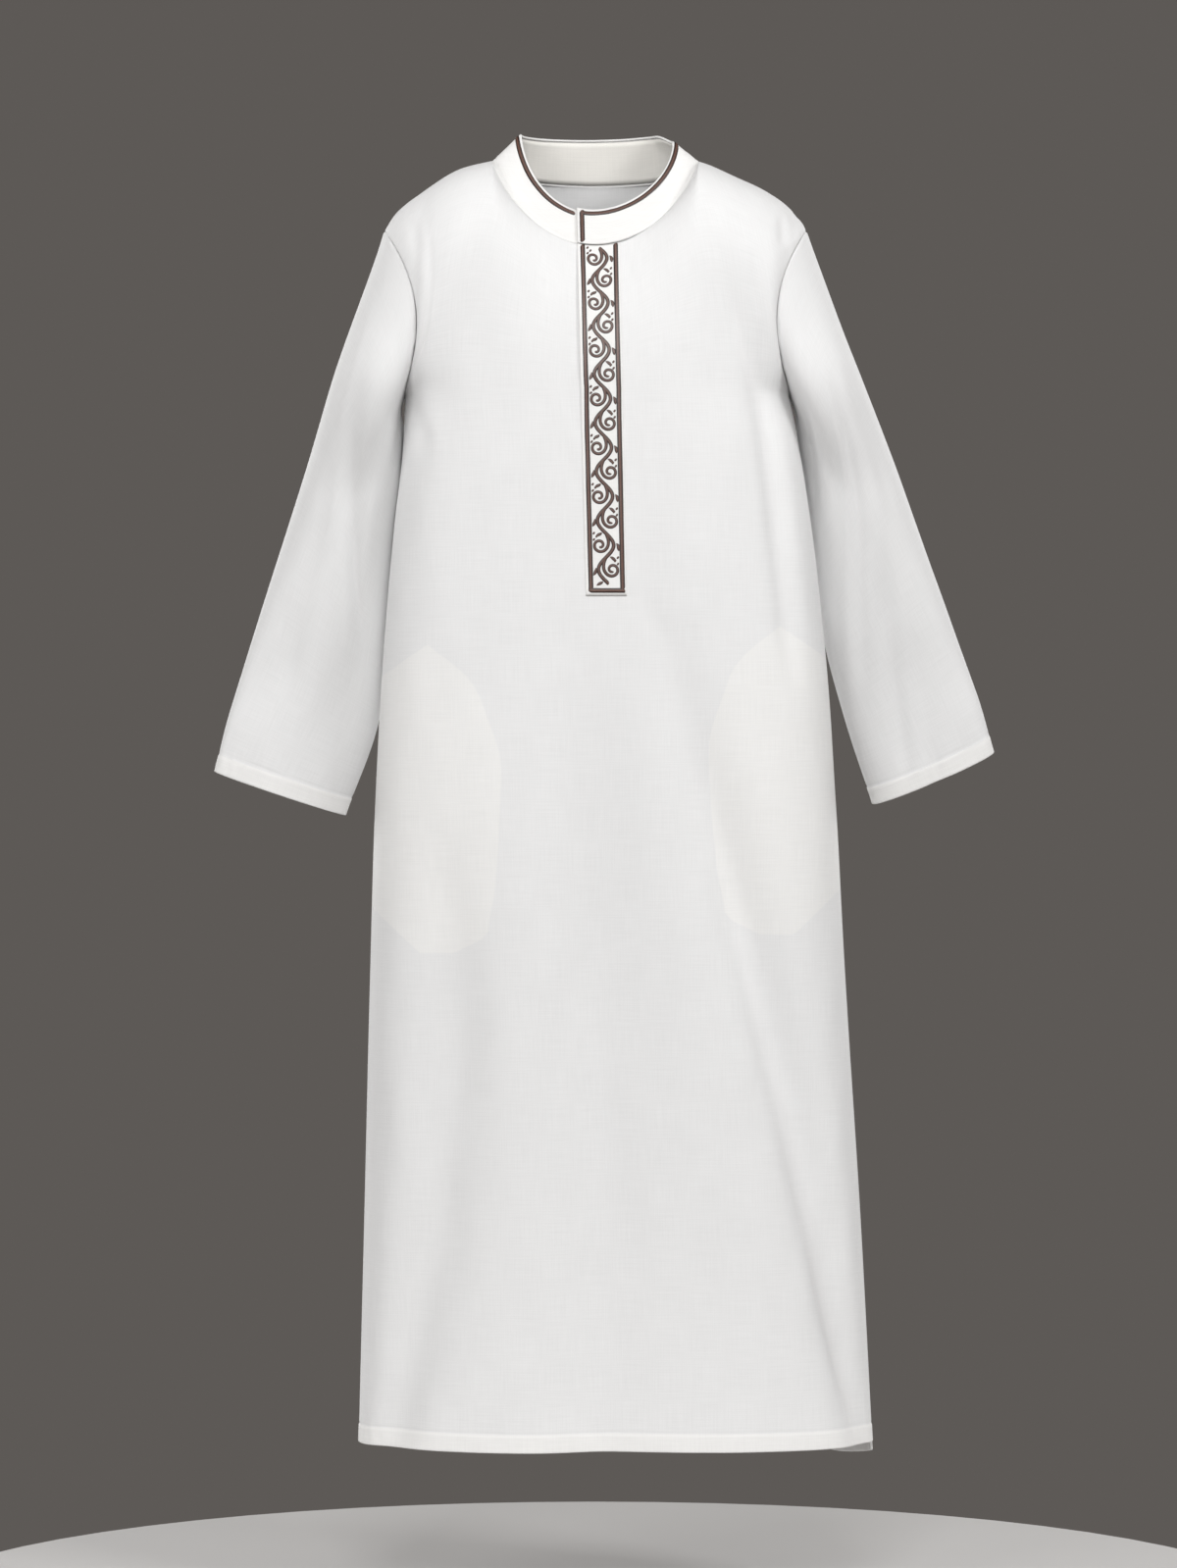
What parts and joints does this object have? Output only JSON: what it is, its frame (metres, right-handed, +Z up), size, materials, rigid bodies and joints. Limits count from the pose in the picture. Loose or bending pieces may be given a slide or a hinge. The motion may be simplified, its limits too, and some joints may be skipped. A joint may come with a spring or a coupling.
{
  "type": "thobe robe",
  "caption": "Ankle-length white robe with a lapped band collar, an embroidered placket strip and straight open sleeves, standing open as if worn.",
  "frame": {"origin": "midway between the two points where the collar seam meets the shoulders, at mid depth", "axes": "+Z up along the wearer's back, -Y to the wearer's front, +X to the wearer's left"},
  "size_m": [0.8565, 0.2489, 1.4439],
  "materials": {
    "white_cloth": "fine plain weave, slight sheen",
    "cream_facing": "matt cotton",
    "brown_thread": "satin stitch"
  },
  "bodies": {
    "root": {"front_panel": "white_cloth", "back_panel": "white_cloth", "sleeve_right": "white_cloth", "sleeve_left": "white_cloth", "collar_stand": "white_cloth", "placket_strip": "white_cloth", "placket_underlap": "white_cloth", "pocket_bag_right": "white_cloth", "pocket_bag_left": "white_cloth", "collar_facing": "cream_facing", "collar_edging": "brown_thread", "placket_edging": "brown_thread"}
  },
  "joints": []
}
